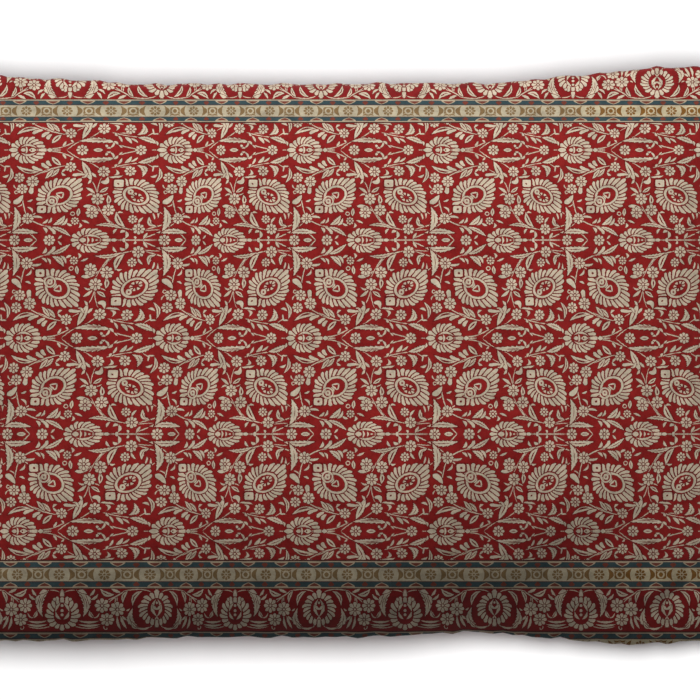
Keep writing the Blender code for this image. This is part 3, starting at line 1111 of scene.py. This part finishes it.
def field_block(column, row):
    """The print of one block of the field's repeat."""
    width, height = FIELD_REPEAT / FIELD_BLOCKS[0], FIELD_ROW_PAIR / FIELD_BLOCKS[1]
    material, tree, finish = cloth_material(f"field_print_{column}_{row}")
    middle = (column + 0.5) * width
    along, below, _ = parts_of(map_place(tree, "field_print"))
    along = maths("WRAP", along, middle + FIELD_REPEAT / 2.0, middle - FIELD_REPEAT / 2.0)
    place = print_place(along, mirrored(below, FIELD_ROW_PAIR))
    window = (
        column * width - BLOCK_MARGIN, (column + 1) * width + BLOCK_MARGIN,
        row * height - BLOCK_MARGIN, (row + 1) * height + BLOCK_MARGIN,
    )
    ink, outlined = drawn(place, field_drawing, window)
    finish(mixed(ink, mixed(outlined, FIELD_RED, FIELD_OUTLINE), FIELD_INK))
    return material


def strip_block(column):
    """The print of one block of the border strip."""
    width = STRIP_DRAWN_HALF / STRIP_BLOCKS
    material, tree, finish = cloth_material(f"strip_print_{column}")
    along, out, _ = parts_of(map_place(tree, "border_print"))
    along = mirrored(times(along, STRIP_DRAWN_HALF / STRIP_HALF_REPEAT), STRIP_DRAWN_HALF)
    place = print_place(along, minus(out, STRIP_START))
    window = (column * width - BLOCK_MARGIN, (column + 1) * width + BLOCK_MARGIN, *STRIP_DEPTHS)
    ink, outlined = drawn(place, STRIP_DRAWING, window)
    finish(mixed(ink, mixed(outlined, STRIP_RED, FIELD_OUTLINE), FIELD_INK))
    return material


materials = [field_block(column, row) for row in range(FIELD_BLOCKS[1]) for column in range(FIELD_BLOCKS[0])]
materials += [strip_block(column) for column in range(STRIP_BLOCKS)]


def band_print():
    """The pale band between two narrow guards, that lies on each side of the border strip."""
    material, tree, finish = cloth_material("band_print")
    along, out, _ = parts_of(map_place(tree, "border_print"))
    second = above(out, (STRIP_START + STRIP_END) / 2.0)
    across = minus(times_plus(second, -STRIP_END, out), BAND_MIDDLE)
    off_middle = absolute(across)
    place = print_place(mirrored(plus(along, BAND_FIRST), BAND_REPEAT / 2.0), across)
    brown, _ = drawn(place, BAND_DRAWING, BAND_WINDOW)
    golden = added(tree, "MapRange", Value=along, From_Min=BAND_GOLDEN_FROM, From_Max=BAND_GOLDEN_TO)
    golden = golden.outputs[0]
    ground = mixed(golden, BAND_GROUND, BAND_GOLDEN)
    colour = mixed(brown, ground, mixed(golden, BAND_BROWN, BAND_GOLDEN_BROWN))
    colour = mixed(above(off_middle, BAND_HALF), colour, LINE_DARK)

    height = minus(GUARD_OUTER, off_middle)
    distance = mirrored(minus(along, GUARD_FIRST), GUARD_REPEAT / 2.0)
    inside_rim = above(height, GUARD_RIM)
    arch = times_plus(times(height, height), ARCH_CURVE, distance)
    filled_arch = times(under(arch, ARCH_FILLED_HALF), inside_rim)
    lozenge = plus(absolute(minus(height, LOZENGE_HEIGHT)), minus(GUARD_REPEAT / 2.0, distance))
    lozenge = times(under(lozenge, LOZENGE_REACH), inside_rim)
    guard = mixed(under(arch, ARCH_HALF), GUARD_BLUE, GUARD_CREAM)
    guard = mixed(larger(filled_arch, lozenge), guard, GUARD_PINK)
    for edge, beyond in ((GUARD_INNER, guard), (GUARD_OUTER, GUARD_CREAM), (CREAM_OUTER, LINE_DARK)):
        colour = mixed(above(off_middle, edge), colour, beyond)
    finish(colour)
    return material


back_material, _, finish_back = cloth_material("back_cotton")
finish_back(BACK_RED)
materials += [band_print(), back_material]
for material in materials:
    cover_mesh.materials.append(material)


def face_middles(values):
    """The mean of a grid of values over the corners of each front face."""
    return values[corner_row, corner_column].reshape(-1, 4).mean(axis=1)


def block_of(share, blocks):
    """Which of a repeat's blocks a share of it falls in."""
    return np.minimum(share * blocks, blocks - 1).astype(int)


face_below, face_along = face_middles(below), face_middles(field_along)
face_outward, face_strip = face_middles(outward), face_middles(strip_along)
folded = np.abs((face_below + FIELD_ROW_PAIR) % (2.0 * FIELD_ROW_PAIR) - FIELD_ROW_PAIR) / FIELD_ROW_PAIR
strip_folded = np.abs((face_strip + STRIP_HALF_REPEAT) % (2.0 * STRIP_HALF_REPEAT) - STRIP_HALF_REPEAT)
slots = block_of(folded, FIELD_BLOCKS[1]) * FIELD_BLOCKS[0]
slots += block_of((face_along % FIELD_REPEAT) / FIELD_REPEAT, FIELD_BLOCKS[0])
in_strip = (face_outward > STRIP_START) & (face_outward < STRIP_END)
strip_slots = FIELD_BLOCKS[0] * FIELD_BLOCKS[1] + block_of(strip_folded / STRIP_HALF_REPEAT, STRIP_BLOCKS)
slots = np.where(face_outward > 0.0, len(materials) - 2, slots)
slots = np.where(in_strip, strip_slots, slots)
slots = np.where(face_side == 1, len(materials) - 1, slots)
cover_mesh.polygons.foreach_set("material_index", slots.astype(np.int32))

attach(cover, "root")
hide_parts("pillow")

# The studio's floor is a plain white table. A soft lamp of its own hangs low over it, which leaves only
# a short soft shadow round the pillow. Further out, where that lamp no longer reaches, the table and the
# room behind it are simply pale in the picture, without lighting the pillow. The table's own paleness
# starts where that share of the lamp's light is lost.
TABLE_HALF_SIDE = 12.0
TABLE_LAMP_HEIGHT = 0.65
LOSS_BEFORE_PALENESS = 0.22
ROOM_LIGHT = 0.02
ROOM_PALENESS = 0.85
floor_model = bmesh.new()
bmesh.ops.create_grid(floor_model, x_segments=1, y_segments=1, size=TABLE_HALF_SIDE)
floor_mesh = bpy.data.meshes.new("floor")
floor_model.to_mesh(floor_mesh)
floor_model.free()
floor = bpy.data.objects.new("floor", floor_mesh)
bpy.context.scene.collection.objects.link(floor)
floor_paint = bpy.data.materials.new("floor_paint")
floor_paint.use_nodes = True
floor_tree = floor_paint.node_tree
floor_shader = floor_tree.nodes["Principled BSDF"]
fed(floor_shader, Base_Color=(0.9, 0.9, 0.9, 1.0), Roughness=0.9, Emission_Strength=1.0)
floor_place = added(floor_tree, "TexCoord").outputs["Object"]
off_middle_square = vectors("DOT_PRODUCT", floor_place, floor_place, output=1)
lamp_square = TABLE_LAMP_HEIGHT ** 2
lamp_share = divided(lamp_square, plus(off_middle_square, lamp_square))
paleness = larger(minus(1.0 - LOSS_BEFORE_PALENESS, power(lamp_share, 2.0)), 0.0)
fed(floor_shader, Emission_Color=times(paleness, added(floor_tree, "LightPath").outputs["Is Camera Ray"]))
floor_mesh.materials.append(floor_paint)


def soft_lamp(name, tilt, distance, size, energy, lit):
    """A round lamp tilted from straight overhead towards the far side, for one object alone."""
    lamp = bpy.data.lights.new(name, "AREA")
    lamp.shape = "DISK"
    lamp.size = size
    lamp.energy = energy
    holder = bpy.data.objects.new(name, lamp)
    angle = math.radians(tilt)
    holder.location = (0.0, distance * math.sin(angle), distance * math.cos(angle))
    holder.rotation_euler = (-angle, 0.0, 0.0)
    bpy.context.scene.collection.objects.link(holder)
    receivers = bpy.data.collections.new(name + "_lights")
    receivers.objects.link(lit)
    holder.light_linking.receiver_collection = receivers


soft_lamp("key", 39.3, 5.0, 2.5, 308.0, cover)
soft_lamp("table", 3.0, TABLE_LAMP_HEIGHT, 0.36, 6.9, floor)

world = bpy.data.worlds.new("world")
world.use_nodes = True
room_seen = added(world.node_tree, "LightPath").outputs["Is Camera Ray"]
room_strength = times_plus(room_seen, ROOM_PALENESS, ROOM_LIGHT)
fed(world.node_tree.nodes["Background"], Color=(1.0, 1.0, 1.0, 1.0), Strength=room_strength)
bpy.context.scene.world = world
bpy.context.scene.view_settings.view_transform = "Standard"
